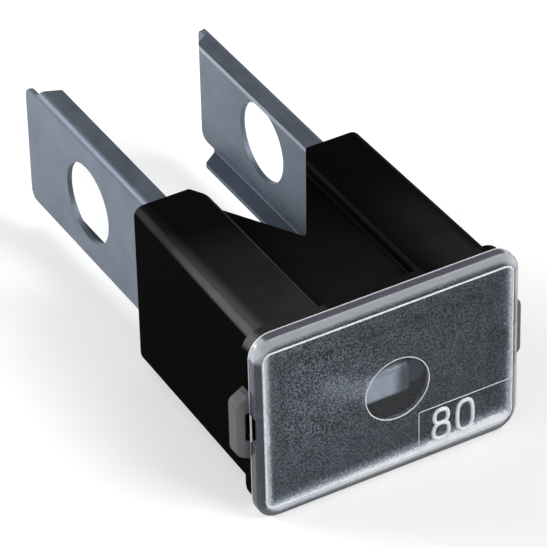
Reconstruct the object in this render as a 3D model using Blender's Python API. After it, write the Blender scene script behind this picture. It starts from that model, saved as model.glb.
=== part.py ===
"""Bolt down strip fuse, in metres.

Four pieces: a moulded housing, one stamped and folded fuse element with two channel blades,
a tin slug crimped on its link, and a clear snap cover with a round lens.

The pieces are modelled round the centre of the flange's front plane, with the blades
towards +Y, the window towards -Y and +Z up. One empty then carries them all, so that the
middle of the bounding box's bottom lies at the world's origin.
"""
import math

import bmesh
import bpy

MM = 0.001
CLEARANCE = 0.3 * MM

# Fuse element: sheet, blades and bolt holes
SHEET = 0.55 * MM
BLADE_SPAN = 21.4 * MM
BLADE_HEIGHT = 15.45 * MM
BLADE_FLANGE = 2.57 * MM
BLADE_EXPOSED = 28.3 * MM
BEND_RADIUS = 0.85 * MM
FLANGE_START = 13.0 * MM
FLANGE_FOOT_CORNER = 1.0 * MM
TAB_STEP = 0.55 * MM
END_CORNER = 1.6 * MM
RELIEF_CORNER = 0.1 * MM

# Ends of the blades' flanges: setback from the blade's end, slant and tip corner
LEFT_END = (2.55 * MM, 1.0 * MM, 0.3 * MM)
RIGHT_TOP_END = (1.9 * MM, 1.5 * MM, 1.1 * MM)
RIGHT_BOTTOM_END = (2.7 * MM, 1.7 * MM, 0.3 * MM)

# Fuse element: bolt holes
HOLE_DIAMETER = 9.1 * MM
HOLE_FROM_END = 13.3 * MM

# Fuse element: the link that crosses behind the window
FRONT_BEND = 1.2 * MM
TURN_BEND = 2.0 * MM
TURN_ANGLE = math.radians(30)
SHOULDER_HEIGHT = 5.0 * MM
LINK_WIDTH = 3.6 * MM
NECK_WIDTH = 2.0 * MM
LINK_CORNER = 0.5 * MM
LINK_FOOT = 0.5 * MM

# Tin slug
SLUG_LENGTH = 5.4 * MM
SLUG_HEIGHT = 3.7 * MM
SLUG_THICKNESS = 2.35 * MM
SLUG_END_WALL = 0.25 * MM
SLUG_CORNER = 0.8 * MM
BORE_CORNER = 0.15 * MM
SLUG_X = 0.05 * MM
SLUG_Z = -0.35 * MM

# Housing
BODY_LENGTH = 26.2 * MM
LEG_OUTER_WALL = 2.45 * MM
LEG_TOP_WALL = 1.94 * MM
LEG_INNER_WALL = 2.64 * MM
BODY_DRAFT = 0.46 * MM
BODY_EDGE = 1.1 * MM
REAR_EDGE = 0.35 * MM
RECESS_DEPTH = 1.33 * MM
RECESS_EDGE = 0.55 * MM
RECESS_ROOT = 0.15 * MM
NOTCH_WALL = 0.88 * MM
NOTCH_ANGLE = math.radians(60.7)
NOTCH_ROOT = 0.25 * MM
TUNNEL_CORNER = 0.4 * MM
FLANGE_THICKNESS = 1.75 * MM
LEDGE_SIDE = 1.05 * MM
LEDGE_TOP = 0.58 * MM
FLANGE_CORNER = 2.0 * MM
FLANGE_EDGE = 0.2 * MM
CAVITY_DEPTH = 4.2 * MM
CAVITY_WALL = 1.1 * MM
CAVITY_CORNER = 1.2 * MM
LUG_REACH = 1.65 * MM
LUG_TIP_HEIGHT = 6.2 * MM
LUG_ROOT_HEIGHT = 8.0 * MM
LUG_CORNER = 0.9 * MM
LUG_FOOT = 0.3 * MM
SLOT_WIDTH = 0.7 * MM
SLOT_DEPTH = 1.0 * MM
SLOT_CORNER = 0.15 * MM
NOSE_HEIGHT = 2.8 * MM
NOSE_REACH = 1.0 * MM
NOSE_WIDTH = 1.0 * MM
NOSE_CORNER = 0.2 * MM
NOSE_TIP_LENGTH = 0.2 * MM
NOSE_TIP_INSET = 0.15 * MM
NOSE_Z = 0.2 * MM

# Clear cover
COVER_DEPTH = 1.36 * MM
COVER_FRONT_WALL = 0.75 * MM
COVER_OVERHANG_SIDE = 0.35 * MM
COVER_OVERHANG_TOP = 0.74 * MM
COVER_CORNER = 2.4 * MM
COVER_EDGE_DEPTH = 0.5 * MM
COVER_EDGE_SIDE = 0.87 * MM
COVER_EDGE_TOP = 1.5 * MM
COVER_EDGE_SWEEP = math.radians(62)
LIP_DEPTH = 1.3 * MM
LIP_WALL = 0.8 * MM
LENS_DIAMETER = 7.3 * MM
LENS_X = 0.86 * MM
LENS_Z = -0.53 * MM
LENS_STEP = 0.12 * MM
WINDOW_CORNER = 0.25 * MM
PANEL_LEFT = 3.3 * MM
PANEL_RIGHT_MARGIN = 0.25 * MM
PANEL_HEIGHT = 4.9 * MM
PANEL_STEP = 0.12 * MM
PANEL_CORNER = 0.2 * MM

# Smoothness of round shapes
ARC_STEPS = 6
BEND_STEPS = 5
HOLE_STEPS = 48
LENS_STEPS = 56
OVERCUT = 2.0 * MM

# Blades: places that follow from the sizes above
BLADE_OUTER_X = BLADE_SPAN / 2
BLADE_MIDDLE_X = BLADE_OUTER_X - SHEET / 2
BLADE_INNER_X = BLADE_OUTER_X - BLADE_FLANGE
BLADE_END_Y = BODY_LENGTH + BLADE_EXPOSED

# Housing: places that follow from the blades it holds
BODY_REAR_WIDTH = BLADE_SPAN + 2 * LEG_OUTER_WALL
BODY_FRONT_WIDTH = BODY_REAR_WIDTH + 2 * BODY_DRAFT
BODY_HEIGHT = BLADE_HEIGHT + 2 * LEG_TOP_WALL
RECESS_WIDTH = 2 * (BLADE_INNER_X - LEG_INNER_WALL)
NOTCH_MOUTH = 2 * (BLADE_INNER_X - CLEARANCE - NOTCH_WALL)
NOTCH_DEPTH = NOTCH_MOUTH / 2 / math.tan(NOTCH_ANGLE / 2)
FLANGE_WIDTH = BODY_FRONT_WIDTH + 2 * LEDGE_SIDE
FLANGE_HEIGHT = BODY_HEIGHT + 2 * LEDGE_TOP
CAVITY_WIDTH = BODY_FRONT_WIDTH - 2 * CAVITY_WALL
CAVITY_HEIGHT = BODY_HEIGHT - 2 * RECESS_DEPTH - 2 * CAVITY_WALL

# Cover: places that follow from the flange that it closes
COVER_WIDTH = FLANGE_WIDTH + 2 * COVER_OVERHANG_SIDE
COVER_HEIGHT = FLANGE_HEIGHT + 2 * COVER_OVERHANG_TOP
RIM_Y = -CLEARANCE
FACE_Y = RIM_Y - COVER_DEPTH
INNER_FACE_Y = FACE_Y + COVER_FRONT_WALL
FACE_WIDTH = COVER_WIDTH - 2 * COVER_EDGE_SIDE
FACE_HEIGHT = COVER_HEIGHT - 2 * COVER_EDGE_TOP

# Link: it runs one clearance and half a slug behind the window
LINK_Y = INNER_FACE_Y + CLEARANCE + SLUG_THICKNESS / 2
TURN_LEFT_X = SLUG_X - SLUG_LENGTH / 2 - CLEARANCE
TURN_RIGHT_X = SLUG_X + SLUG_LENGTH / 2 + CLEARANCE
BORE_THICKNESS = SHEET + 2 * CLEARANCE
BORE_HEIGHT = NECK_WIDTH + 2 * CLEARANCE
SLUG_ROUNDING = (SLUG_HEIGHT - BORE_HEIGHT) / 2 - SLUG_END_WALL

# World origin: middle of the bounding box's bottom
CARRIER_Y = -(FACE_Y + BLADE_END_Y) / 2
CARRIER_Z = COVER_HEIGHT / 2


def clear_scene():
    """Remove every object, so that the script can be run again from the text editor."""
    for old in list(bpy.data.objects):
        bpy.data.objects.remove(old, do_unlink=True)


def make_material(name, colour, roughness, metallic=0.0, alpha=1.0):
    """A Principled material in one plain finish."""
    material = bpy.data.materials.new(name)
    material.use_nodes = True
    shader = material.node_tree.nodes["Principled BSDF"]
    shader.inputs["Base Color"].default_value = (*colour, 1.0)
    shader.inputs["Roughness"].default_value = roughness
    shader.inputs["Metallic"].default_value = metallic
    shader.inputs["Alpha"].default_value = alpha
    material.diffuse_color = (*colour, alpha)
    return material


def finish_mesh(name, bm, smooth_angle=math.radians(35)):
    """Turn a bmesh into an object with outward faces and smooth round surfaces."""
    bmesh.ops.recalc_face_normals(bm, faces=bm.faces)
    if bm.calc_volume(signed=True) < 0:
        bmesh.ops.reverse_faces(bm, faces=bm.faces)
    mesh = bpy.data.meshes.new(name)
    bm.to_mesh(mesh)
    bm.free()
    mesh.shade_smooth()
    mesh.set_sharp_from_angle(angle=smooth_angle)
    made = bpy.data.objects.new(name, mesh)
    bpy.context.collection.objects.link(made)
    return made


def filleted(corners, steps=ARC_STEPS):
    """Outline through (x, y, radius) corners, each rounded by an arc of its own radius."""
    outline = []
    count = len(corners)
    for index, (x, y, radius) in enumerate(corners):
        before = corners[index - 1]
        after = corners[(index + 1) % count]
        if radius <= 0:
            outline.append((x, y))
            continue
        back = (before[0] - x, before[1] - y)
        ahead = (after[0] - x, after[1] - y)
        back_length = math.hypot(*back)
        ahead_length = math.hypot(*ahead)
        back = (back[0] / back_length, back[1] / back_length)
        ahead = (ahead[0] / ahead_length, ahead[1] / ahead_length)
        half = math.acos(max(-1.0, min(1.0, back[0] * ahead[0] + back[1] * ahead[1]))) / 2
        reach = min(radius / math.tan(half), 0.48 * back_length, 0.48 * ahead_length)
        radius = reach * math.tan(half)
        middle = (back[0] + ahead[0], back[1] + ahead[1])
        middle_length = math.hypot(*middle)
        distance = radius / math.sin(half)
        centre = (x + middle[0] / middle_length * distance, y + middle[1] / middle_length * distance)
        start = math.atan2(y + back[1] * reach - centre[1], x + back[0] * reach - centre[0])
        stop = math.atan2(y + ahead[1] * reach - centre[1], x + ahead[0] * reach - centre[0])
        sweep = (stop - start + math.pi) % (2 * math.pi) - math.pi
        for step in range(steps + 1):
            angle = start + sweep * step / steps
            outline.append((centre[0] + radius * math.cos(angle), centre[1] + radius * math.sin(angle)))
    return outline


def rectangle(width, height, radius, x=0.0, z=0.0):
    """Rounded rectangle about (x, z)."""
    right, top = width / 2, height / 2
    corners = [(right, -top), (right, top), (-right, top), (-right, -top)]
    return filleted([(x + a, z + b, radius) for a, b in corners])


def ring(outline, y):
    """Outline in X and Z, placed at one depth."""
    return [(x, y, z) for x, z in outline]


def loft(name, rings, closed=False):
    """Solid through rings of equally many points, capped at its ends or closed on itself."""
    bm = bmesh.new()
    loops = [[bm.verts.new(point) for point in points] for points in rings]
    pairs = list(zip(loops, loops[1:]))
    if closed:
        pairs.append((loops[-1], loops[0]))
    for first, second in pairs:
        for index in range(len(first)):
            after = (index + 1) % len(first)
            bm.faces.new((first[index], first[after], second[after], second[index]))
    if closed:
        bmesh.ops.triangulate(bm, faces=bm.faces[:])
    else:
        bm.faces.new(loops[0])
        bm.faces.new(loops[-1])
    return finish_mesh(name, bm)


def joined(name, shapes):
    """One object from separate shapes that don't meet."""
    bm = bmesh.new()
    for shape in shapes:
        bm.from_mesh(shape.data)
        bpy.data.objects.remove(shape, do_unlink=True)
    return finish_mesh(name, bm)


def combine(target, tool, operation):
    """Add or cut a helper shape, which stays as a hidden wire object."""
    tool.hide_render = True
    tool.display_type = "WIRE"
    step = target.modifiers.new(tool.name, "BOOLEAN")
    step.operation = operation
    step.solver = "EXACT"
    step.object = tool


def mirrored_pair(name, make):
    """The right and left copies of a helper shape, joined."""
    return joined(name, [make(1), make(-1)])


def body_section(width, inset):
    """Section of the housing's body: a rounded block with a shallow recess above and below."""
    side = width / 2 - inset
    top = BODY_HEIGHT / 2 - inset
    recess = RECESS_WIDTH / 2 + inset
    floor = BODY_HEIGHT / 2 - RECESS_DEPTH - inset
    outer = BODY_EDGE - inset
    upper = [(side, top, outer), (recess, top, RECESS_EDGE), (recess, floor, RECESS_ROOT),
             (-recess, floor, RECESS_ROOT), (-recess, top, RECESS_EDGE), (-side, top, outer)]
    lower = [(x, -z, radius) for x, z, radius in reversed(upper)]
    return filleted(upper + lower)


def make_body():
    """Tapered body with a rounded rear edge; it starts inside the flange."""
    start = FLANGE_THICKNESS / 2
    taper = (BODY_FRONT_WIDTH - BODY_REAR_WIDTH) / (BODY_LENGTH - start)
    rings = [ring(body_section(BODY_FRONT_WIDTH, 0.0), start)]
    for step in range(4):
        angle = math.pi / 2 * step / 3
        y = BODY_LENGTH - REAR_EDGE * (1 - math.sin(angle))
        width = BODY_FRONT_WIDTH - taper * (y - start)
        rings.append(ring(body_section(width, REAR_EDGE * (1 - math.cos(angle))), y))
    return loft("housing", rings)


def flange_section(inset):
    """Outline of the flange with a snap lug on each narrow side."""
    side = FLANGE_WIDTH / 2 - inset
    top = FLANGE_HEIGHT / 2 - inset
    tip = FLANGE_WIDTH / 2 + LUG_REACH - inset
    tip_height = LUG_TIP_HEIGHT / 2 - inset / 2
    root_height = LUG_ROOT_HEIGHT / 2 - inset / 2
    corner = FLANGE_CORNER - inset
    right = [(side, -top, corner), (side, -root_height, LUG_FOOT), (tip, -tip_height, LUG_CORNER),
             (tip, tip_height, LUG_CORNER), (side, root_height, LUG_FOOT), (side, top, corner)]
    left = [(-x, -z, radius) for x, z, radius in right]
    return filleted(right + left)


def make_flange():
    """Flange plate with its edges eased front and back."""
    rings = []
    for step in range(3):
        angle = math.pi / 2 * step / 2
        rings.append(ring(flange_section(FLANGE_EDGE * (1 - math.sin(angle))),
                          FLANGE_EDGE * (1 - math.cos(angle))))
    for step in range(3):
        angle = math.pi / 2 * step / 2
        rings.append(ring(flange_section(FLANGE_EDGE * (1 - math.cos(angle))),
                          FLANGE_THICKNESS - FLANGE_EDGE * (1 - math.sin(angle))))
    return loft("flange_plate", rings)


def make_notch():
    """V cutter between the two legs, open to the rear and through from top to bottom."""
    slope = (NOTCH_MOUTH / 2) / NOTCH_DEPTH
    apex_y = BODY_LENGTH - NOTCH_DEPTH
    back_y = BODY_LENGTH + OVERCUT
    wide = slope * (back_y - apex_y)
    outline = filleted([(0.0, apex_y, NOTCH_ROOT), (wide, back_y, 0.0), (-wide, back_y, 0.0)])
    reach = BODY_HEIGHT / 2 + OVERCUT
    return loft("notch_cut", [[(x, y, z) for x, y in outline] for z in (-reach, reach)])


def make_tunnel(side):
    """Passage for one blade, from the cavity to the leg's rear end, one clearance all round."""
    outer = BLADE_OUTER_X + CLEARANCE
    inner = BLADE_INNER_X - CLEARANCE
    outline = rectangle(outer - inner, BLADE_HEIGHT + 2 * CLEARANCE, TUNNEL_CORNER,
                        x=side * (outer + inner) / 2)
    return loft("tunnel", [ring(outline, CAVITY_DEPTH / 2), ring(outline, BODY_LENGTH + OVERCUT)])


def make_slot(side):
    """Blind slot in a lug, beside the cover's edge."""
    x = side * (COVER_WIDTH / 2 + SLOT_WIDTH / 2 - CLEARANCE)
    outline = rectangle(SLOT_WIDTH, NOSE_HEIGHT + 2 * CLEARANCE, SLOT_CORNER, x=x, z=NOSE_Z)
    return loft("slot", [ring(outline, -OVERCUT), ring(outline, SLOT_DEPTH)])


def make_nose(side):
    """Snap nose that stands forward of the flange into the cover's side window."""
    x = side * (COVER_WIDTH / 2 - CLEARANCE - NOSE_WIDTH / 2)
    tall = rectangle(NOSE_WIDTH, NOSE_HEIGHT, NOSE_CORNER, x=x, z=NOSE_Z)
    tip = rectangle(NOSE_WIDTH - 2 * NOSE_TIP_INSET, NOSE_HEIGHT - 2 * NOSE_TIP_INSET,
                    NOSE_CORNER / 2, x=x, z=NOSE_Z)
    return loft("nose", [ring(tall, FLANGE_THICKNESS / 3), ring(tall, NOSE_TIP_LENGTH - NOSE_REACH),
                         ring(tip, -NOSE_REACH)])


def make_housing(material):
    """Moulded housing: body, flange, lugs and noses, less its notch, cavity and blade tunnels."""
    housing = make_body()
    cavity_outline = rectangle(CAVITY_WIDTH, CAVITY_HEIGHT, CAVITY_CORNER)
    cavity = loft("cavity_cut", [ring(cavity_outline, -OVERCUT), ring(cavity_outline, CAVITY_DEPTH)])
    combine(housing, make_flange(), "UNION")
    combine(housing, make_notch(), "DIFFERENCE")
    combine(housing, cavity, "DIFFERENCE")
    combine(housing, mirrored_pair("tunnel_cuts", make_tunnel), "DIFFERENCE")
    combine(housing, mirrored_pair("slot_cuts", make_slot), "DIFFERENCE")
    combine(housing, mirrored_pair("nose_shapes", make_nose), "UNION")
    housing.data.materials.append(material)
    return housing


def slanted(reach):
    """Length of the slant between a blade and the link's middle, and the depth where it starts."""
    length = (reach - TURN_BEND * math.sin(TURN_ANGLE)
              - FRONT_BEND * (1 - math.sin(TURN_ANGLE))) / math.cos(TURN_ANGLE)
    start_y = (LINK_Y + TURN_BEND * (1 - math.cos(TURN_ANGLE)) + length * math.sin(TURN_ANGLE)
               + FRONT_BEND * math.cos(TURN_ANGLE))
    return length, start_y


def strip_path():
    """Stretches of the element's middle line seen from above: (length, turn) from left to right.

    It runs forward along the left blade, turns in, slants forward to the window, passes
    straight through the slug and goes back to the right blade in the same way.
    """
    left, left_y = slanted(BLADE_MIDDLE_X + TURN_LEFT_X)
    right, right_y = slanted(BLADE_MIDDLE_X - TURN_RIGHT_X)
    turn = math.pi / 2 - TURN_ANGLE
    return [(BLADE_END_Y - left_y, 0.0), (FRONT_BEND * turn, turn), (left, 0.0),
            (TURN_BEND * TURN_ANGLE, TURN_ANGLE), (TURN_RIGHT_X - TURN_LEFT_X, 0.0),
            (TURN_BEND * TURN_ANGLE, TURN_ANGLE), (right, 0.0),
            (FRONT_BEND * turn, turn), (BLADE_END_Y - right_y, 0.0)]


def strip_length():
    """Length of the flat strip, from one blade's end to the other's."""
    return sum(length for length, turn in strip_path())


def strip_stations():
    """Distances along the strip where it is scored, so that its curved stretches can bend."""
    stations = []
    distance = 0.0
    for length, turn in strip_path():
        if turn:
            stations += [distance + length * step / BEND_STEPS for step in range(BEND_STEPS + 1)]
        distance += length
    return stations


def on_path(distance, offset):
    """Point in plan at a distance along the strip, offset to the inner side of the fold."""
    x, y, heading = -BLADE_MIDDLE_X, BLADE_END_Y, -math.pi / 2
    for length, turn in strip_path():
        part = min(max(distance, 0.0), length)
        if turn:
            radius = length / turn
            stop = heading + turn * part / length
            x += radius * (math.sin(stop) - math.sin(heading))
            y += radius * (math.cos(heading) - math.cos(stop))
            heading = stop
        else:
            x += math.cos(heading) * part
            y += math.sin(heading) * part
        if distance <= length:
            break
        distance -= length
    return x - math.sin(heading) * offset, y + math.cos(heading) * offset


def fold(distance, height, offset):
    """Fold a point of the flat pattern: first the blade's flange, then the strip's path."""
    middle_radius = BEND_RADIUS - SHEET / 2
    bend_start = BLADE_HEIGHT / 2 - BEND_RADIUS
    past = abs(height) - bend_start
    if past > 0:
        side = math.copysign(1.0, height)
        angle = min(past / middle_radius, math.pi / 2)
        straight = past - angle * middle_radius
        radius = middle_radius - offset
        height = side * (bend_start + radius * math.sin(angle))
        offset = middle_radius - radius * math.cos(angle) + straight
    x, y = on_path(distance, offset)
    return x, y, height


def flat_half_width():
    """Half width of the flat pattern over a blade, with both flanges unfolded."""
    middle_radius = BEND_RADIUS - SHEET / 2
    straight = BLADE_FLANGE - SHEET / 2 - middle_radius
    return BLADE_HEIGHT / 2 - BEND_RADIUS + middle_radius * math.pi / 2 + straight


def blade_edge(setback, slant, tip_corner):
    """One long edge of a blade in the flat: (distance from its end, height, radius) corners."""
    tab = BLADE_HEIGHT / 2 - TAB_STEP
    free = flat_half_width()
    shoulder = SHOULDER_HEIGHT / 2
    start = BLADE_END_Y - FLANGE_START
    return [(0.0, tab, END_CORNER), (setback, tab, RELIEF_CORNER),
            (setback + slant, free, tip_corner), (start, free, FLANGE_FOOT_CORNER),
            (start + free - shoulder, shoulder, FLANGE_FOOT_CORNER)]


def link_edge(side):
    """One edge of the link from left to right; side is 1 for the top and -1 for the bottom."""
    lengths = [length for length, turn in strip_path()]
    left_foot = sum(lengths[:2])
    start = sum(lengths[:4])
    stop = start + lengths[4]
    right_foot = sum(lengths[:7])
    high = side * LINK_WIDTH / 2
    narrow = side * NECK_WIDTH / 2
    shoulder = side * SHOULDER_HEIGHT / 2
    slope = (LINK_WIDTH - NECK_WIDTH) / 2
    return [(left_foot - LINK_FOOT, shoulder, LINK_CORNER),
            (left_foot + LINK_FOOT, SLUG_Z + high, LINK_CORNER),
            (start - slope, SLUG_Z + high, LINK_CORNER), (start, SLUG_Z + narrow, LINK_CORNER),
            (stop, SLUG_Z + narrow, LINK_CORNER), (stop + slope, SLUG_Z + high, LINK_CORNER),
            (right_foot - LINK_FOOT, SLUG_Z + high, LINK_CORNER),
            (right_foot + LINK_FOOT, shoulder, LINK_CORNER)]


def flat_outline():
    """Whole outline of the flat pattern, as distance along the strip and height."""
    end = strip_length()
    edges = []
    for side, right_end in ((1, RIGHT_TOP_END), (-1, RIGHT_BOTTOM_END)):
        left = [(distance, side * height, radius)
                for distance, height, radius in blade_edge(*LEFT_END)]
        right = [(end - distance, side * height, radius)
                 for distance, height, radius in reversed(blade_edge(*right_end))]
        edges.append(left + link_edge(side) + right)
    top, bottom = edges
    return filleted(top + bottom[::-1])


def add_outline(bm, points):
    """Closed chain of edges in the flat."""
    verts = [bm.verts.new((x, y, -SHEET / 2)) for x, y in points]
    return [bm.edges.new((verts[index - 1], verts[index])) for index in range(len(verts))]


def make_element(material):
    """Stamp the flat pattern with its bolt holes, score its bends and fold it up."""
    bm = bmesh.new()
    edges = add_outline(bm, flat_outline())
    for hole in (HOLE_FROM_END, strip_length() - HOLE_FROM_END):
        turns = [2 * math.pi * step / HOLE_STEPS for step in range(HOLE_STEPS)]
        radius = HOLE_DIAMETER / 2
        edges += add_outline(bm, [(hole + radius * math.cos(a), radius * math.sin(a)) for a in turns])
    bmesh.ops.triangle_fill(bm, use_beauty=True, use_dissolve=False, edges=edges)
    sheet = bmesh.ops.extrude_face_region(bm, geom=bm.faces[:])
    raised = [item for item in sheet["geom"] if isinstance(item, bmesh.types.BMVert)]
    bmesh.ops.translate(bm, verts=raised, vec=(0.0, 0.0, SHEET))
    middle_radius = BEND_RADIUS - SHEET / 2
    bend_start = BLADE_HEIGHT / 2 - BEND_RADIUS
    for distance in strip_stations():
        score(bm, (distance, 0.0, 0.0), (1.0, 0.0, 0.0))
    for step in range(BEND_STEPS + 1):
        height = bend_start + middle_radius * math.pi / 2 * step / BEND_STEPS
        for side in (1, -1):
            score(bm, (0.0, side * height, 0.0), (0.0, 1.0, 0.0))
    bmesh.ops.triangulate(bm, faces=bm.faces[:])
    for vert in bm.verts:
        vert.co = fold(*vert.co)
    element = finish_mesh("fuse_element", bm)
    element.data.materials.append(material)
    return element


def score(bm, point, normal):
    """Split the sheet along a plane, without removing anything."""
    geometry = bm.verts[:] + bm.edges[:] + bm.faces[:]
    bmesh.ops.bisect_plane(bm, geom=geometry, dist=1e-7, plane_co=point, plane_no=normal)


def make_slug(material):
    """Rounded tin slug with the link's neck running through it."""
    rings = []
    steps = 4
    stretches = [(-1, step) for step in range(steps + 1)] + [(1, steps - step) for step in range(steps + 1)]
    for side, step in stretches:
        angle = math.pi / 2 * step / steps
        inset = SLUG_ROUNDING * (1 - math.sin(angle))
        along = SLUG_LENGTH / 2 - SLUG_ROUNDING * (1 - math.cos(angle))
        outline = rectangle(SLUG_THICKNESS - inset, SLUG_HEIGHT - 2 * inset, SLUG_CORNER,
                            x=LINK_Y, z=SLUG_Z)
        rings.append([(SLUG_X + side * along, y, z) for y, z in outline])
    bore = rectangle(BORE_THICKNESS, BORE_HEIGHT, BORE_CORNER, x=LINK_Y, z=SLUG_Z)
    for side in (1, -1):
        rings.append([(SLUG_X + side * SLUG_LENGTH / 2, y, z) for y, z in bore])
    slug = loft("tin_slug", rings, closed=True)
    slug.data.materials.append(material)
    return slug


def cover_rings():
    """Rings of the cover from its pocket's floor, round the lip and rim, to the front face."""
    lip_width = CAVITY_WIDTH - 2 * CLEARANCE
    lip_height = CAVITY_HEIGHT - 2 * CLEARANCE
    lip_outer = rectangle(lip_width, lip_height, CAVITY_CORNER - CLEARANCE)
    lip_inner = rectangle(lip_width - 2 * LIP_WALL, lip_height - 2 * LIP_WALL, CAVITY_CORNER / 2)
    rings = [ring(lip_inner, INNER_FACE_Y), ring(lip_inner, LIP_DEPTH),
             ring(lip_outer, LIP_DEPTH), ring(lip_outer, RIM_Y)]
    rings.append(ring(rectangle(COVER_WIDTH, COVER_HEIGHT, COVER_CORNER), RIM_Y))
    steps = 6
    for step in range(steps + 1):
        angle = COVER_EDGE_SWEEP * step / steps
        inward = (1 - math.cos(angle)) / (1 - math.cos(COVER_EDGE_SWEEP))
        forward = math.sin(angle) / math.sin(COVER_EDGE_SWEEP)
        outline = rectangle(COVER_WIDTH - 2 * COVER_EDGE_SIDE * inward,
                            COVER_HEIGHT - 2 * COVER_EDGE_TOP * inward,
                            COVER_CORNER - COVER_EDGE_SIDE * inward)
        rings.append(ring(outline, FACE_Y + COVER_EDGE_DEPTH * (1 - forward)))
    return rings


def make_window(side):
    """Cutter for the side window that the housing's nose snaps into."""
    inner = COVER_WIDTH / 2 - 2 * CLEARANCE - NOSE_WIDTH
    outer = COVER_WIDTH / 2 + OVERCUT
    outline = rectangle(outer - inner, NOSE_HEIGHT + 2 * CLEARANCE, WINDOW_CORNER,
                        x=side * (outer + inner) / 2, z=NOSE_Z)
    return loft("window", [ring(outline, RIM_Y + OVERCUT), ring(outline, -NOSE_REACH - CLEARANCE)])


def make_cover(material):
    """Clear cover with a polished round lens, a stepped panel and two side windows."""
    cover = loft("clear_cover", cover_rings())
    turns = [2 * math.pi * step / LENS_STEPS for step in range(LENS_STEPS)]
    radius = LENS_DIAMETER / 2
    lens = [(LENS_X + radius * math.cos(a), LENS_Z + radius * math.sin(a)) for a in turns]
    lens_cut = loft("lens_cut", [ring(lens, FACE_Y - OVERCUT), ring(lens, FACE_Y + LENS_STEP)])
    right = FACE_WIDTH / 2 - PANEL_RIGHT_MARGIN
    bottom = -FACE_HEIGHT / 2
    top = bottom + PANEL_HEIGHT
    panel = filleted([(right, bottom, PANEL_CORNER), (right, top, PANEL_CORNER),
                      (PANEL_LEFT, top, PANEL_CORNER), (PANEL_LEFT, bottom, PANEL_CORNER)])
    panel_cut = loft("panel_cut", [ring(panel, FACE_Y - OVERCUT), ring(panel, FACE_Y + PANEL_STEP)])
    combine(cover, mirrored_pair("window_cuts", make_window), "DIFFERENCE")
    combine(cover, lens_cut, "DIFFERENCE")
    combine(cover, panel_cut, "DIFFERENCE")
    cover.data.materials.append(material)
    return cover


def main():
    clear_scene()
    black = make_material("black_plastic", (0.02, 0.02, 0.022), 0.55)
    clear = make_material("clear_plastic", (0.72, 0.76, 0.80), 0.25, alpha=0.45)
    plated = make_material("plated_metal", (0.56, 0.59, 0.63), 0.38, metallic=1.0)
    tin = make_material("tin", (0.66, 0.67, 0.69), 0.45, metallic=1.0)
    make_housing(black)
    make_element(plated)
    make_slug(tin)
    make_cover(clear)
    carrier = bpy.data.objects.new("carrier", None)
    bpy.context.collection.objects.link(carrier)
    carrier.location = (0.0, CARRIER_Y, CARRIER_Z)
    for made in list(bpy.data.objects):
        if made is not carrier:
            made.parent = carrier


main()
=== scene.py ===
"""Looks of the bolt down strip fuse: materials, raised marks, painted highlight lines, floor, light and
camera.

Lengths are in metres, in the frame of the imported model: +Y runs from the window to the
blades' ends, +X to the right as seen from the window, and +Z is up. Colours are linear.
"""
import math

import bmesh
import bpy
from mathutils import Matrix, Vector


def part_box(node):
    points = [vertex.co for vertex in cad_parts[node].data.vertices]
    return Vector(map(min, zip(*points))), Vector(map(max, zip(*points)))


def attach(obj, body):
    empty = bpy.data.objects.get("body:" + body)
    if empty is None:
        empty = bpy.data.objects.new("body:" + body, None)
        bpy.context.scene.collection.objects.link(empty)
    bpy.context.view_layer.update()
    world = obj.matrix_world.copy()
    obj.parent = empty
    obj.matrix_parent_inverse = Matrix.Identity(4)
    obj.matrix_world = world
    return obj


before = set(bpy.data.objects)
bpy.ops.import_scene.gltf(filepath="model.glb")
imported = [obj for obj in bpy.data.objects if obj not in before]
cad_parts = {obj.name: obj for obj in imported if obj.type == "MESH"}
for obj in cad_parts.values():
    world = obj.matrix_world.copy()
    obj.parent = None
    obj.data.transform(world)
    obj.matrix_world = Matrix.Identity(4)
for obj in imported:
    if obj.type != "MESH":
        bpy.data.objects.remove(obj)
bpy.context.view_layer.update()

MM = 0.001
HAIR = 0.02 * MM

# Photograph's view of the object
PHOTO_PIXELS = 547
FOCAL_PIXELS = 4244.4
SENSOR_WIDTH = 36.0
CLIP_NEAR = 0.01
CLIP_FAR = 20.0
VIEW_AZIMUTH = math.radians(29.181)
VIEW_ELEVATION = math.radians(36.628)
VIEW_ROLL = math.radians(-1.481)
VIEW_TARGET = Vector((1.31, -2.91, 8.42)) * MM
VIEW_DISTANCE = 435.07 * MM

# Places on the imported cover: its face, its rounded rim, its lens and its panel
COVER_LOW, COVER_HIGH = (Vector(corner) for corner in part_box("clear_cover"))
CENTRE_Z = (COVER_LOW.z + COVER_HIGH.z) / 2
FACE_Y = COVER_LOW.y
SIDE_MARGIN = 0.87 * MM
END_MARGIN = 1.5 * MM
FACE_RIGHT = COVER_HIGH.x - SIDE_MARGIN
FACE_TOP = COVER_HIGH.z - END_MARGIN
FACE_BOTTOM = COVER_LOW.z + END_MARGIN
FACE_CORNER = 1.0 * MM
RIM_CORNER = 2.4 * MM
RIM_Y = FACE_Y + 1.36 * MM
LENS_X = 0.86 * MM
LENS_Z = CENTRE_Z - 0.53 * MM
LENS_RADIUS = 3.65 * MM
PANEL_LEFT = 3.3 * MM
PANEL_RIGHT = COVER_HIGH.x - 1.12 * MM
PANEL_BOTTOM = FACE_BOTTOM
PANEL_TOP = PANEL_BOTTOM + 4.9 * MM
PANEL_STEP = 0.12 * MM

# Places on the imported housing
LUG_FRONT_X = 14.7 * MM
LUG_SIDE_X = LUG_FRONT_X + 0.4 * MM
FLANGE_Y = -24.6 * MM
RECESS_INNER_X = 5.4 * MM
RECESS_OUTER_X = 5.6 * MM
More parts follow.
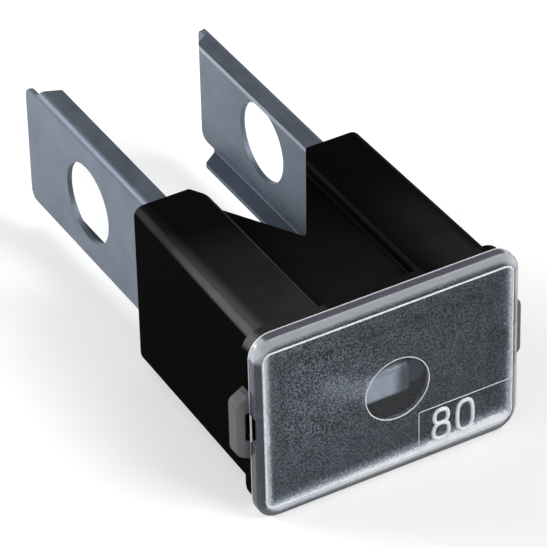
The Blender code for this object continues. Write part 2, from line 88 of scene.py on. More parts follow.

# Places on the imported fuse element and slug for their painted shade and painted highlight; a pair is
# where a mark starts and is at its full
CHANNEL_X = 10.3 * MM
FLANGE_EDGE_X = 8.3 * MM
UPPER_FLANGE_Z = 11.0 * MM
CHANNEL_SHADE_Z = (9.0 * MM, 2.0 * MM)
LOWER_BEND_Z = (6.0 * MM, 5.0 * MM)
UPPER_BEND_Z = (15.0 * MM, 16.0 * MM)
TIP_Y = 26.0 * MM
LINK_Y = -20.0 * MM
LINK_SHADE_X = (1.0 * MM, 2.0 * MM)
SLUG_SHADE_X = (0.4 * MM, 2.1 * MM)

# Painted highlights and painted light and shade on the housing: where each one starts and is at its
# full
HIGHLIGHT_Y = (-5.0 * MM, -17.0 * MM)
HIGHLIGHT_EDGE_X = (-9.0 * MM, -12.0 * MM)
HIGHLIGHT_CORNER_X = (-11.3 * MM, -12.6 * MM)
HIGHLIGHT_RECESS_X = (-5.0 * MM, -RECESS_INNER_X)
LIT_Y = (-7.0 * MM, -21.0 * MM)
RIGHT_LEG_X = (RECESS_OUTER_X, 9.5 * MM)
RIGHT_LEG_Y = (-6.0 * MM, -17.0 * MM)
RIGHT_EDGE_X = (11.8 * MM, 12.8 * MM)

# Marks on the etched face: its ragged bright bands, its speckle and a painted glow of the link behind
# it
RAGGED = 0.4 * MM
BAND_BLUR = 0.15 * MM
LEFT_BAND = 0.5 * MM
RIGHT_BAND = 0.3 * MM
LOW_BAND = (0.4 * MM, 0.8 * MM)
SPECKLE_SHARE = (0.23, 0.14)
SPECKLE_UP = (-6.0 * MM, -1.0 * MM)
GLOW_SHARE = 0.075
GLOW_SLOPE = 0.39
GLOW_UP = (2.4 * MM, 0.3 * MM)
GLOW_X = (-9.5 * MM, -5.0 * MM)

# Thin lines on the cover, which are painted highlights
LINE_RADIUS = 0.06 * MM
BORDER_RADIUS = 0.11 * MM
PANEL_CORNER = 0.2 * MM
PANEL_CHAMFER = 0.06 * MM

# Numerals in the panel: places across and up, from the panel's lower left corner
NUMERAL_HEIGHT = 4.1 * MM
NUMERAL_WIDTH = 2.3 * MM
NUMERAL_STROKE = 0.5 * MM
NUMERAL_RISE = 0.2 * MM
NUMERAL_BASE = 0.35 * MM
EIGHT_X = 2.65 * MM
EIGHT_LOWER_SHARE = 0.53
EIGHT_UPPER_WIDTH = 0.88
ZERO_X = 5.45 * MM
ZERO_SQUARENESS = 2.8

# Noise: cycles per metre, detail and roughness
ROLLING_CYCLES = (9000, 350, 9000)
ROLLING_LINES = (1.0, 3.0, 0.6)
PLATING_CLOUDS = (260, 3.0, 0.6)
PLATING_GRAIN = (7000, 2.0, 0.6)
TIN_DIMPLES = (900, 2.0, 0.5)
TIN_GRAIN = (6000, 2.0, 0.5)
MOULD_TEXTURE = (5200, 3.0, 0.6)
MOULD_FLOW = (180, 3.0, 0.55)
ETCH_SPECKLE = (4600, 2.0, 0.7)
ETCH_PATCHES = (600, 2.0, 0.5)
MARK_CLOUDS = (1500, 2.0, 0.5)
NOISE_RANGE = (0.3, 0.7)
NOISE_MIDDLE = (0.35, 0.65)

# Bumps: depth and strength
GRAIN_BUMP = (0.008 * MM, 0.6)
ROLLING_BUMP = (0.006 * MM, 0.5)
DIMPLE_BUMP = (0.1 * MM, 0.5)
MOULD_BUMP = (0.012 * MM, 0.5)
ETCH_BUMP = (0.03 * MM, 1.0)

# Roughness, from least to most
PLATING_ROUGHNESS = (0.54, 0.62)
TIN_ROUGHNESS = (0.5, 0.62)
SATIN_ROUGHNESS = (0.55, 0.62)
WALL_ROUGHNESS = 0.9
LENS_ROUGHNESS = 0.05
ETCH_ROUGHNESS = (0.42, 0.6)
MARK_ROUGHNESS = (0.25, 0.4)
FLOOR_ROUGHNESS = 0.9

# Colours of the plating and the tin, with the plating's painted shade and painted highlight and the
# tin's painted shade
PLATING_DARK = (0.155, 0.185, 0.228)
PLATING_LIGHT = (0.215, 0.25, 0.305)
PLATING_CUT_HIGHLIGHT = (0.40, 0.44, 0.50)
PLATING_SHADE = (0.03, 0.035, 0.045)
TIN_DARK = (0.40, 0.43, 0.45)
TIN_LIGHT = (0.66, 0.69, 0.71)
TIN_SHADE = (0.05, 0.052, 0.06)

# Colours and shine of the black plastic, with its painted light, shade and highlight and the lugs'
# painted reflection
BLACK_DEEP = (0.0015, 0.0015, 0.0015)
BLACK_LIT = (0.0248, 0.0248, 0.025)
BLACK_WALL = (0.002, 0.002, 0.002)
BLACK_HIGHLIGHT = (0.12, 0.12, 0.122)
BLACK_SHINE = 0.012
LUG_REFLECTION_DARK = (0.10, 0.10, 0.102)
LUG_REFLECTION_LIGHT = (0.21, 0.21, 0.214)

# Colours and shine of the clear plastic with the rim's painted light and shade, and colours of the
# raised marks and painted highlight lines
CLEAR_TINT = (0.84, 0.88, 0.95)
ETCH_DARK = (0.05, 0.065, 0.10)
ETCH_COOL = (0.80, 0.88, 1.0)
ETCH_WHITE = (0.92, 0.94, 0.97)
RIM_UNLIT = (0.03, 0.033, 0.04)
RIM_LIT = (0.76, 0.79, 0.84)
RIM_FLAT_TOP = (0.12, 0.115, 0.15)
RIM_SHADED = (0.02, 0.021, 0.025)
CLEAR_SHINE = (0.25, 0.25, 0.27)
CLEAR_IOR = 1.49
CLEAR_SHADOW = 0.5
MARK_GREY = (0.72, 0.75, 0.79)
MARK_WHITE = (0.96, 0.97, 0.98)

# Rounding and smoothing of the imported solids: the least angle of a real edge, how near split
# corners lie, and how wide each node's edges are rounded
EDGE_ANGLE = math.radians(32)
WELD_DISTANCE = 0.002 * MM
EDGE_WIDTHS = {"housing": 0.10 * MM, "fuse_element": 0.07 * MM, "tin_slug": 0.05 * MM,
               "clear_cover": 0.08 * MM}

# Floor, surroundings and lights
FLOOR_SIZE = 1.4
FLOOR_GREY = (0.8, 0.8, 0.8)
FLOOR_GLOW = 0.33
WHITE = (1.0, 1.0, 1.0)
WORLD_FILL = 0.3
WORLD_TOP = 0.12
CEILING_START = 0.15
CEILING_FULL = 0.55
LIGHT_DISTANCE = 0.9
KEY_DIRECTION = (0.39, -0.60, 0.70)
KEY_SIZE = (0.5, 0.5)
KEY_POWER = 5.0
RIM_DIRECTION = (-0.60, 0.70, 0.39)
RIM_SIZE = (0.5, 0.25)
RIM_POWER = 7.0


def make_camera():
    """Camera at the photograph's place, by its angles round the target."""
    flat = Vector((math.sin(VIEW_AZIMUTH), math.cos(VIEW_AZIMUTH), 0.0))
    forward = flat * math.cos(VIEW_ELEVATION) - Vector((0, 0, 1)) * math.sin(VIEW_ELEVATION)
    level = Vector((flat.y, -flat.x, 0.0))
    upright = level.cross(forward)
    right = level * math.cos(VIEW_ROLL) + upright * math.sin(VIEW_ROLL)
    up = right.cross(forward)
    data = bpy.data.cameras.new("camera")
    data.lens = SENSOR_WIDTH * FOCAL_PIXELS / PHOTO_PIXELS
    data.sensor_width = SENSOR_WIDTH
    data.clip_start = CLIP_NEAR
    data.clip_end = CLIP_FAR
    camera = bpy.data.objects.new("camera", data)
    bpy.context.scene.collection.objects.link(camera)
    turn = Matrix((right, up, -forward)).transposed()
    camera.matrix_world = Matrix.Translation(VIEW_TARGET - forward * VIEW_DISTANCE) @ turn.to_4x4()
    bpy.context.scene.camera = camera


class Nodes:
    """A node tree, with a short call for each kind of node that the looks use."""

    def __init__(self, tree):
        self.tree = tree

    def node(self, kind, **settings):
        made = self.tree.nodes.new(kind)
        for key, value in settings.items():
            setattr(made, key, value)
        return made

    def put(self, socket, value):
        """Set a socket to a number or colour, or link it to another node's output."""
        if isinstance(value, bpy.types.NodeSocket):
            self.tree.links.new(value, socket)
        elif isinstance(value, tuple) and len(value) == 3 and len(socket.default_value) == 4:
            socket.default_value = (*value, 1.0)
        else:
            socket.default_value = value

    def coordinates(self, kind):
        return self.node("ShaderNodeTexCoord").outputs[kind]

    def axes(self, kind):
        """The three parts of one kind of coordinates."""
        made = self.node("ShaderNodeSeparateXYZ")
        self.put(made.inputs[0], self.coordinates(kind))
        return made.outputs[0], made.outputs[1], made.outputs[2]

    def noise(self, scale, detail, roughness, vector=None):
        """Noise of so many cycles per metre, in object coordinates if no others are given."""
        made = self.node("ShaderNodeTexNoise")
        self.put(made.inputs["Vector"], vector or self.coordinates("Object"))
        made.inputs["Scale"].default_value = scale
        made.inputs["Detail"].default_value = detail
        made.inputs["Roughness"].default_value = roughness
        return made.outputs["Fac"]

    def stretched(self, x, y, z):
        """Object coordinates scaled to cycles per metre along each axis."""
        mapping = self.node("ShaderNodeMapping")
        self.put(mapping.inputs["Vector"], self.coordinates("Object"))
        mapping.inputs["Scale"].default_value = (x, y, z)
        return mapping.outputs["Vector"]

    def spread(self, value, low, high, to_low=0.0, to_high=1.0, smooth=False):
        """Map a value from one range to another, clamped."""
        made = self.node("ShaderNodeMapRange")
        made.clamp = True
        if smooth:
            made.interpolation_type = "SMOOTHSTEP"
        for index, part in enumerate((value, low, high, to_low, to_high)):
            self.put(made.inputs[index], part)
        return made.outputs["Result"]

    def calc(self, operation, first, second=0.0):
        made = self.node("ShaderNodeMath", operation=operation)
        self.put(made.inputs[0], first)
        self.put(made.inputs[1], second)
        return made.outputs[0]

    def product(self, first, *others):
        for other in others:
            first = self.calc("MULTIPLY", first, other)
        return first

    def largest(self, first, *others):
        for other in others:
            first = self.calc("MAXIMUM", first, other)
        return first

    def size(self, value):
        """A number without its sign."""
        return self.calc("ABSOLUTE", value)

    def over(self, value, limit):
        """1 where a value is over a limit, and 0 elsewhere."""
        return self.calc("GREATER_THAN", value, limit)

    def below(self, value, limit):
        """1 where a value is below a limit, and 0 elsewhere."""
        return self.calc("LESS_THAN", value, limit)

    def rest(self, value):
        """What is left of 1."""
        return self.calc("SUBTRACT", 1.0, value)

    def mix(self, fraction, first, second):
        """Blend of two colours."""
        made = self.node("ShaderNodeMix", data_type="RGBA")
        self.put(made.inputs["Factor"], fraction)
        self.put(made.inputs[6], first)
        self.put(made.inputs[7], second)
        return made.outputs[2]

    def blend(self, fraction, first, second):
        """Blend of two numbers."""
        made = self.node("ShaderNodeMix", data_type="FLOAT")
        self.put(made.inputs["Factor"], fraction)
        self.put(made.inputs[2], first)
        self.put(made.inputs[3], second)
        return made.outputs[0]

    def bump(self, height, distance, strength, normal=None):
        made = self.node("ShaderNodeBump")
        made.inputs["Strength"].default_value = strength
        made.inputs["Distance"].default_value = distance
        self.put(made.inputs["Height"], height)
        if normal:
            self.put(made.inputs["Normal"], normal)
        return made.outputs["Normal"]

    def background_rays(self):
        """1 for rays that show the background: from the camera, a reflection or through glass."""
        rays = self.node("ShaderNodeLightPath").outputs
        return self.largest(rays["Is Camera Ray"], rays["Is Glossy Ray"], rays["Is Transmission Ray"])


class Shader(Nodes):
    """Node tree of one material, built round its Principled shader."""

    def __init__(self, name):
        self.material = bpy.data.materials.new(name)
        self.material.use_nodes = True
        super().__init__(self.material.node_tree)
        self.main = self.tree.nodes["Principled BSDF"]

    def set(self, **values):
        """Set sockets of the Principled shader by name, with _ for a space."""
        for key, value in values.items():
            self.put(self.main.inputs[key.replace("_", " ")], value)


def plated_metal():
    """Satin plating with rolling lines, painted shade in channels and bends, and a painted highlight on
    cut edges.
    """
    shader = Shader("plated_metal")
    across, along, height = shader.axes("Object")
    normal_x, _, normal_z = shader.axes("Normal")
    lines = shader.noise(*ROLLING_LINES, shader.stretched(*ROLLING_CYCLES))
    clouds = shader.noise(*PLATING_CLOUDS)
    grain = shader.noise(*PLATING_GRAIN)
    tone = shader.calc("ADD", shader.spread(clouds, *NOISE_MIDDLE, 0.0, 0.6),
                       shader.spread(lines, *NOISE_MIDDLE, 0.0, 0.4))

    # Painted shade: darker low in the channels, along the bends, at the blades' tips and at the right
    # end of the link
    inside = shader.below(shader.size(across), CHANNEL_X)
    low = shader.product(inside, shader.spread(height, *CHANNEL_SHADE_Z, 0.0, 0.45, smooth=True))
    turning = shader.product(shader.spread(normal_z, 0.05, 0.3), shader.spread(normal_z, 0.99, 0.9))
    lower = shader.product(inside, shader.spread(height, *LOWER_BEND_Z, 0.0, 0.85))
    upper = shader.spread(height, *UPPER_BEND_Z, 0.0, 0.4)
    tip = shader.product(shader.over(along, TIP_Y), shader.spread(height, *UPPER_BEND_Z, 0.0, 0.6))
    bend = shader.product(turning, shader.largest(lower, upper, tip))
    link = shader.product(shader.below(along, LINK_Y), shader.spread(across, *LINK_SHADE_X, 0.0, 0.9))
    painted_shade = shader.largest(low, bend, link)

    # Painted highlight along the cut edge of the upper flanges
    cut_highlight = shader.product(shader.below(shader.size(across), FLANGE_EDGE_X),
                         shader.spread(shader.size(normal_x), 0.6, 0.9),
                         shader.over(along, 0.0), shader.over(height, UPPER_FLANGE_Z))

    plating = shader.mix(tone, PLATING_DARK, PLATING_LIGHT)
    plating = shader.mix(cut_highlight, plating, PLATING_CUT_HIGHLIGHT)
    shader.set(Base_Color=shader.mix(painted_shade, plating, PLATING_SHADE), Metallic=1.0,
               Roughness=shader.spread(tone, 0.0, 1.0, *PLATING_ROUGHNESS),
               Normal=shader.bump(grain, *GRAIN_BUMP, shader.bump(lines, *ROLLING_BUMP)))
    return shader.material


def tin():
    """Dull cast tin, slightly dimpled, with painted shade on top and towards its right end."""
    shader = Shader("tin")
    across, _, _ = shader.axes("Object")
    _, _, normal_z = shader.axes("Normal")
    dimples = shader.noise(*TIN_DIMPLES)
    grain = shader.noise(*TIN_GRAIN)
    # Painted shade on the top and towards the right end
    slug_shade = shader.largest(shader.spread(across, *SLUG_SHADE_X, 0.0, 0.9, smooth=True),
                             shader.spread(normal_z, 0.1, 0.5, 0.0, 0.6))
    cast = shader.mix(dimples, TIN_DARK, TIN_LIGHT)
    shader.set(Base_Color=shader.mix(slug_shade, cast, TIN_SHADE), Metallic=1.0,
               Roughness=shader.spread(grain, *NOISE_RANGE, *TIN_ROUGHNESS),
               Normal=shader.bump(dimples, *DIMPLE_BUMP))
    return shader.material


def black_plastic():
    """Moulded thermoplastic, satin on top and matt on its side walls, with painted light, shade and
    highlights and lugs painted pale as a reflection.
    """
    shader = Shader("black_plastic")
    across, along, _ = shader.axes("Object")
    normal_x, normal_y, normal_z = shader.axes("Normal")
    sideways = shader.size(across)
    tilt = shader.size(normal_x)
    texture = shader.noise(*MOULD_TEXTURE)
    flow = shader.noise(*MOULD_FLOW)

    # Snap lugs on the narrow sides, painted pale as a reflection, and the steep side walls
    front = shader.spread(normal_y, -0.75, -0.95, smooth=True)
    lug_reflection = shader.largest(shader.over(sideways, LUG_SIDE_X),
                         shader.product(front, shader.over(sideways, LUG_FRONT_X)))
    wall = shader.spread(tilt, 0.80, 0.98, smooth=True)

    # Painted highlight along the left leg's outer edge, most near the flange, faintly along the recess,
    # and fading onto the leg's top
    frontward = shader.spread(along, *HIGHLIGHT_Y, 0.1, 1.0)
    outer_edge = shader.product(shader.spread(across, *HIGHLIGHT_EDGE_X, 0.05, 1.0), frontward)
    recess_edge = shader.spread(across, *HIGHLIGHT_RECESS_X, 0.05, 0.3)
    painted_highlight = shader.product(shader.spread(tilt, 0.1, 0.6, smooth=True),
                          shader.spread(normal_z, 0.2, 0.6, smooth=True),
                          shader.spread(flow, 0.3, 0.6, 0.6, 1.0),
                          shader.largest(recess_edge, outer_edge))
    fade = shader.product(shader.spread(across, *HIGHLIGHT_CORNER_X, 0.0, 0.4, smooth=True),
                          shader.spread(normal_z, 0.6, 0.9), shader.over(along, FLANGE_Y), frontward)
    painted_highlight = shader.largest(painted_highlight, fade)

    # Painted light on the left leg, fainter in the recess and on the right leg, with painted shade deep
    # black at the rear and along the right leg's outer edge
    left_leg = shader.product(shader.spread(across, -RECESS_INNER_X, -RECESS_OUTER_X, 0.3, 1.0),
                              shader.spread(across, RECESS_INNER_X, RECESS_OUTER_X, 1.0, 0.0))
    right_leg = shader.product(shader.spread(across, *RIGHT_LEG_X),
                               shader.spread(across, *RIGHT_EDGE_X, 1.0, 0.1),
                               shader.spread(along, *RIGHT_LEG_Y, 0.2, 0.6))
    painted_light = shader.product(shader.largest(left_leg, right_leg),
                         shader.spread(along, *LIT_Y, 0.055, 1.0),
                         shader.spread(flow, *NOISE_RANGE, 0.6, 1.0))

    colour = shader.mix(painted_light, BLACK_DEEP, BLACK_LIT)
    colour = shader.mix(wall, colour, BLACK_WALL)
    colour = shader.mix(painted_highlight, colour, BLACK_HIGHLIGHT)
    # Painted reflection: the lugs pale grey
    colour = shader.mix(lug_reflection, colour, shader.mix(texture, LUG_REFLECTION_DARK, LUG_REFLECTION_LIGHT))
    satin_roughness = shader.spread(flow, *NOISE_RANGE, *SATIN_ROUGHNESS)
    shader.set(Base_Color=colour, Specular_IOR_Level=BLACK_SHINE,
               Roughness=shader.blend(wall, satin_roughness, WALL_ROUGHNESS),
               Normal=shader.bump(texture, *MOULD_BUMP))
    return shader.material


def etched_face(shader, speckle, etched):
    """How milky each point of the cover's etched face is."""
    x, _, z = shader.axes("Object")
    across = shader.calc("SUBTRACT", x, LENS_X)
    up = shader.calc("SUBTRACT", z, LENS_Z)
    ragged = shader.spread(speckle, *NOISE_RANGE, -RAGGED, RAGGED)

    def band(inward, width):
        """Ragged band along one side of the face, from how far inside that side a point is."""
        reach = shader.calc("ADD", inward, ragged)
        past = shader.calc("SUBTRACT", reach, width)
        return shader.spread(past, BAND_BLUR, -BAND_BLUR)

    left = shader.product(band(shader.calc("ADD", x, FACE_RIGHT), LEFT_BAND), 0.5)
    right = shader.product(band(shader.calc("SUBTRACT", FACE_RIGHT, x), RIGHT_BAND), 0.45)
    low_width = shader.spread(x, 0.0, FACE_RIGHT, *LOW_BAND)
    low = shader.product(band(shader.calc("SUBTRACT", z, FACE_BOTTOM), low_width),
                         shader.spread(x, -FACE_RIGHT, 0.0, 0.25, 0.95))

    # Speckle that thins out to the right and downwards, and painted light left of the lens where the
    # link behind shows as a glow
    contrast = shader.spread(x, -FACE_RIGHT, FACE_RIGHT, *SPECKLE_SHARE)
    mottled = shader.product(shader.spread(etched, 0.50, 0.70, 0.0, contrast),
                             shader.spread(up, *SPECKLE_UP, 0.7, 1.0))
    drift = shader.size(shader.calc("ADD", up, shader.product(across, GLOW_SLOPE)))
    link_glow = shader.product(shader.spread(drift, *GLOW_UP, 0.0, GLOW_SHARE, smooth=True),
                          shader.spread(x, *GLOW_X, smooth=True),
                          shader.below(x, LENS_X))
    return shader.largest(shader.calc("ADD", mottled, link_glow), low, left, right)


def rounded_rim(shader, front):
    """The cover's edge round the face: where it is, how milky it is there, and its colour with painted
    light and shade.
    """
    x, y, z = shader.axes("Object")
    normal_x, normal_y, normal_z = shader.axes("Normal")
    height = shader.size(shader.calc("SUBTRACT", z, CENTRE_Z))
    margin = shader.largest(shader.over(shader.size(x), FACE_RIGHT - LINE_RADIUS),
                            shader.over(height, FACE_TOP - CENTRE_Z - LINE_RADIUS))
    rim = shader.product(margin, shader.below(y, RIM_Y - HAIR),
                         shader.spread(normal_y, 0.2, 0.4, 1.0, 0.0), shader.rest(front))

    # Painted light and shade by which way the rim faces: milky and light where it faces up or right,
    # dusky on its flat top, a thin painted dark line along the upper bevel, and painted shade where it
    # turns under and where it faces straight right
    light = shader.largest(shader.spread(normal_z, 0.0, 0.2, smooth=True),
                           shader.spread(normal_x, 0.2, 0.5, smooth=True))
    flat_top = shader.spread(normal_z, 0.86, 0.95, smooth=True)
    shaded = shader.product(shader.spread(normal_z, -0.3, -0.42), shader.spread(normal_z, -0.74, -0.68))
    shaded = shader.largest(shaded, shader.spread(normal_x, 0.5, 0.65))
    shade_line = shader.spread(shader.size(shader.calc("SUBTRACT", normal_z, 0.72)), 0.02, 0.05, 0.85, 1.0)
    milky = shader.blend(shaded, shader.product(shader.blend(light, 0.25, 0.4), shade_line), 0.9)
    colour = shader.mix(light, RIM_UNLIT, RIM_LIT)
    colour = shader.mix(flat_top, colour, RIM_FLAT_TOP)
    return rim, milky, shader.mix(shaded, colour, RIM_SHADED)


def clear_plastic():
    """Clear plastic: an etched front face with a polished lens, and glossy rounded edges."""
    shader = Shader("clear_plastic")
    x, _, z = shader.axes("Object")
    _, normal_y, _ = shader.axes("Normal")
    speckle = shader.noise(*ETCH_SPECKLE)
    patches = shader.noise(*ETCH_PATCHES)
    etched = shader.calc("ADD", speckle, shader.product(patches, 0.12))

    # Etched front face, all but the lens
    front = shader.spread(normal_y, -0.97, -0.995, smooth=True)
    across = shader.calc("SUBTRACT", x, LENS_X)
    up = shader.calc("SUBTRACT", z, LENS_Z)
    radius = shader.calc("POWER", shader.calc("ADD", shader.product(across, across),
                                              shader.product(up, up)), 0.5)
    frost = shader.product(front, shader.over(radius, LENS_RADIUS - HAIR))
    face = etched_face(shader, speckle, etched)
    etch = shader.mix(shader.spread(face, 0.0, 0.3), ETCH_DARK, ETCH_COOL)
    etch = shader.mix(shader.spread(face, 0.3, 0.6), etch, ETCH_WHITE)
    etch = shader.mix(frost, CLEAR_TINT, etch)

    # The rim, with painted light and shade by which way it faces
    rim, rim_milky, rim_colour = rounded_rim(shader, front)
    milky = shader.calc("ADD", shader.product(frost, face), shader.product(rim, rim_milky))
    etch_roughness = shader.spread(etched, 0.5, 0.85, *ETCH_ROUGHNESS)
    shader.set(Base_Color=shader.mix(rim, etch, rim_colour), IOR=CLEAR_IOR, Specular_Tint=CLEAR_SHINE,
               Roughness=shader.blend(frost, LENS_ROUGHNESS, etch_roughness),
               Transmission_Weight=shader.rest(milky),
               Normal=shader.bump(shader.product(etched, frost), *ETCH_BUMP))

    # Light passes to what is inside without being bent
    shadow = shader.node("ShaderNodeLightPath").outputs["Is Shadow Ray"]
    shader.set(Alpha=shader.rest(shader.product(shadow, CLEAR_SHADOW)))
    return shader.material


def white_mark_and_highlight():
    """White of the raised numerals, and of the thin lines that are painted highlights along the cover's
    edges.
    """
    shader = Shader("white_mark_and_highlight")
    clouds = shader.noise(*MARK_CLOUDS)
    shader.set(Base_Color=shader.mix(shader.spread(clouds, *NOISE_RANGE), MARK_GREY, MARK_WHITE),
               Roughness=shader.spread(clouds, *NOISE_RANGE, *MARK_ROUGHNESS))
    return shader.material


def weld_group():
    """Modifier nodes that join a node's split corners and smooth it, except at real edges."""
    group = bpy.data.node_groups.new("weld_and_smooth", "GeometryNodeTree")
    group.interface.new_socket("Geometry", in_out="INPUT", socket_type="NodeSocketGeometry")
    group.interface.new_socket("Geometry", in_out="OUTPUT", socket_type="NodeSocketGeometry")
    start = group.nodes.new("NodeGroupInput")
    weld = group.nodes.new("GeometryNodeMergeByDistance")
    smooth = group.nodes.new("GeometryNodeSetShadeSmooth")
    sharp = group.nodes.new("GeometryNodeSetShadeSmooth")
    angle = group.nodes.new("GeometryNodeInputMeshEdgeAngle")
    test = group.nodes.new("FunctionNodeCompare")
    end = group.nodes.new("NodeGroupOutput")
    weld.inputs["Distance"].default_value = WELD_DISTANCE
    sharp.domain = "EDGE"
    sharp.inputs["Shade Smooth"].default_value = False
    test.operation = "GREATER_THAN"
    test.inputs[1].default_value = EDGE_ANGLE
    group.links.new(start.outputs[0], weld.inputs["Geometry"])
    group.links.new(weld.outputs[0], smooth.inputs["Geometry"])
    group.links.new(smooth.outputs[0], sharp.inputs["Geometry"])
    group.links.new(angle.outputs["Unsigned Angle"], test.inputs[0])
    group.links.new(test.outputs[0], sharp.inputs["Selection"])
    group.links.new(sharp.outputs[0], end.inputs[0])
    return group


def ease_edges(node, group, width):
    """Join the split corners, round the real edges a little and even out the shading."""
    node.modifiers.new("weld_and_smooth", "NODES").node_group = group
    bevel = node.modifiers.new("bevel", "BEVEL")
    bevel.width = width
    bevel.segments = 2
    bevel.limit_method = "ANGLE"
    bevel.angle_limit = EDGE_ANGLE
    bevel.use_clamp_overlap = True
    bevel.harden_normals = False
    even = node.modifiers.new("even_normals", "WEIGHTED_NORMAL")
    even.keep_sharp = True


def tube(name, path, radius, y, material, closed=True, sides=8):
    """Round line along a path of (x, z) points at one depth, as a piece of its own."""
    bm = bmesh.new()
    rings = []
    count = len(path)
    angles = [2 * math.pi * step / sides for step in range(sides)]
    for index, (x, z) in enumerate(path):
        before = path[index - 1] if closed or index else path[0]
        after = path[(index + 1) % count] if closed or index + 1 < count else path[-1]
        along = Vector((after[0] - before[0], after[1] - before[1])).normalized()
        side = Vector((-along.y, along.x))
        rings.append([bm.verts.new((x + side.x * radius * math.cos(angle),
                                    y + radius * math.sin(angle),
                                    z + side.y * radius * math.cos(angle)))
                      for angle in angles])
    pairs = list(zip(rings, rings[1:]))
    if closed:
        pairs.append((rings[-1], rings[0]))
    else:
        bm.faces.new(rings[0])
        bm.faces.new(rings[-1])
    for first, second in pairs:
        for index in range(sides):
            after = (index + 1) % sides
            bm.faces.new((first[index], first[after], second[after], second[index]))
    bmesh.ops.recalc_face_normals(bm, faces=bm.faces)
    mesh = bpy.data.meshes.new(name)
    bm.to_mesh(mesh)
    bm.free()
    mesh.shade_smooth()
    mesh.materials.append(material)
    piece = bpy.data.objects.new(name, mesh)
    bpy.context.scene.collection.objects.link(piece)
    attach(piece, "root")


def oval(x, z, width, height, squareness=2.4, steps=40):
    """Closed path round a rounded oval, or round a circle at a squareness of 2."""
    points = []
    for step in range(steps):
        angle = 2 * math.pi * step / steps
        a, b = math.cos(angle), math.sin(angle)
        points.append((x + math.copysign(abs(a) ** (2 / squareness), a) * width / 2,
                       z + math.copysign(abs(b) ** (2 / squareness), b) * height / 2))
    return points


def rounded(half_width, half_height, corner, steps=8):
    """Closed path round a rectangle with round corners, about the cover's middle."""
    points = []
    for turn, (a, b) in enumerate(((1, 1), (-1, 1), (-1, -1), (1, -1))):
        for step in range(steps + 1):
            angle = (turn + step / steps) * math.pi / 2
            points.append((a * (half_width - corner) + corner * math.cos(angle),
                           CENTRE_Z + b * (half_height - corner) + corner * math.sin(angle)))
    return points


def numerals(material):
    """Plain numerals in the panel: an eight of two ovals and a zero of one."""
    depth = FACE_Y + PANEL_STEP + NUMERAL_STROKE / 2 - NUMERAL_RISE
    foot = PANEL_BOTTOM + NUMERAL_BASE + NUMERAL_STROKE / 2
    inner = NUMERAL_WIDTH - NUMERAL_STROKE
    tall = NUMERAL_HEIGHT - NUMERAL_STROKE
    lower = tall * EIGHT_LOWER_SHARE
    upper = tall - lower
    eight = PANEL_LEFT + EIGHT_X
    zero = PANEL_LEFT + ZERO_X
    tube("numeral_eight_lower", oval(eight, foot + lower / 2, inner, lower),
         NUMERAL_STROKE / 2, depth, material)
    tube("numeral_eight_upper", oval(eight, foot + lower + upper / 2, inner * EIGHT_UPPER_WIDTH, upper),
         NUMERAL_STROKE / 2, depth, material)
    tube("numeral_zero", oval(zero, foot + tall / 2, inner, tall, ZERO_SQUARENESS),
         NUMERAL_STROKE / 2, depth, material)


def thin_lines(material):
    """Thin white lines as painted highlights: round the face, along the rim's rear, round the lens and
    along the panel.
    """
    line_y = FACE_Y + LINE_RADIUS / 2
    tube("face_border_highlight", rounded(FACE_RIGHT, FACE_TOP - CENTRE_Z, FACE_CORNER),
         BORDER_RADIUS, FACE_Y + BORDER_RADIUS / 4, material)
    tube("rim_highlight_line", rounded(COVER_HIGH.x - BORDER_RADIUS, COVER_HIGH.z - CENTRE_Z - BORDER_RADIUS,
                             RIM_CORNER - BORDER_RADIUS),
         BORDER_RADIUS, RIM_Y + BORDER_RADIUS / 2, material)
    tube("lens_rim_highlight", oval(LENS_X, LENS_Z, 2 * LENS_RADIUS, 2 * LENS_RADIUS, squareness=2.0, steps=64),
         LINE_RADIUS, line_y, material)
    tube("panel_edge_highlight", [(PANEL_LEFT, PANEL_BOTTOM), (PANEL_LEFT, PANEL_TOP - PANEL_CORNER),
                        (PANEL_LEFT + PANEL_CHAMFER, PANEL_TOP - PANEL_CHAMFER),
                        (PANEL_LEFT + PANEL_CORNER, PANEL_TOP), (PANEL_RIGHT, PANEL_TOP)],
         LINE_RADIUS, line_y, material, closed=False)


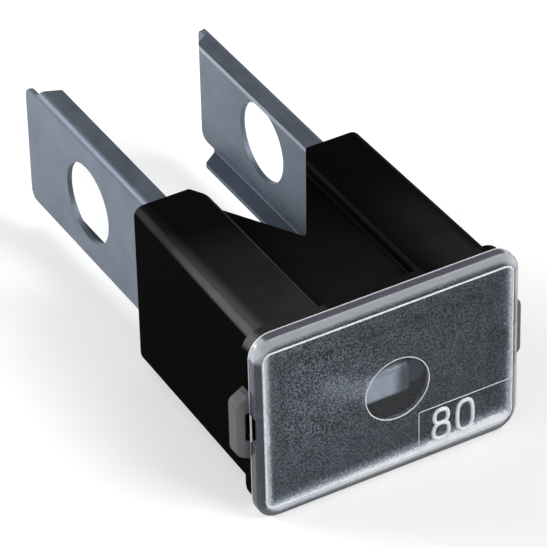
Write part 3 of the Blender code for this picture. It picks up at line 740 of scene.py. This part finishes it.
def make_floor():
    """Pale plain floor that keeps the object's shadow."""
    bpy.ops.mesh.primitive_plane_add(size=FLOOR_SIZE, location=(0, 0, -HAIR))
    floor = bpy.context.object
    floor.name = "floor"
    shader = Shader("floor")
    shader.set(Base_Color=FLOOR_GREY, Roughness=FLOOR_ROUGHNESS, Specular_IOR_Level=0.0,
               Emission_Color=WHITE,
               Emission_Strength=shader.product(shader.background_rays(), FLOOR_GLOW))
    floor.data.materials.append(shader.material)


def make_world():
    """Even soft fill; where it is seen, a white horizon under a darker ceiling."""
    world = bpy.data.worlds.new("studio")
    bpy.context.scene.world = world
    world.use_nodes = True
    nodes = Nodes(world.node_tree)
    back = nodes.tree.nodes["Background"]
    _, _, height = nodes.axes("Generated")
    ceiling = nodes.spread(height, CEILING_START, CEILING_FULL, 1.0, WORLD_TOP, smooth=True)
    nodes.put(back.inputs["Strength"], nodes.blend(nodes.background_rays(), WORLD_FILL, ceiling))
    nodes.put(back.inputs["Color"], WHITE)


def softbox(name, direction, size, power):
    """Rectangular soft light that faces the object."""
    data = bpy.data.lights.new(name, "AREA")
    data.shape = "RECTANGLE"
    data.size, data.size_y = size
    data.energy = power
    light = bpy.data.objects.new(name, data)
    bpy.context.scene.collection.objects.link(light)
    place = Vector(direction).normalized() * LIGHT_DISTANCE
    light.location = place
    light.rotation_euler = (-place).to_track_quat("-Z", "Y").to_euler()


looks = {"housing": black_plastic(), "fuse_element": plated_metal(), "tin_slug": tin(),
         "clear_cover": clear_plastic()}
welding = weld_group()
for name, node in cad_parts.items():
    node.data.materials.clear()
    node.data.materials.append(looks[name])
    ease_edges(node, welding, EDGE_WIDTHS[name])

# White numerals, and thin white lines that are painted highlights along the cover's edges
marks = white_mark_and_highlight()
numerals(marks)
thin_lines(marks)
make_camera()
make_floor()
make_world()
softbox("key", KEY_DIRECTION, KEY_SIZE, KEY_POWER)
softbox("rim", RIM_DIRECTION, RIM_SIZE, RIM_POWER)
bpy.context.scene.view_settings.view_transform = "Standard"
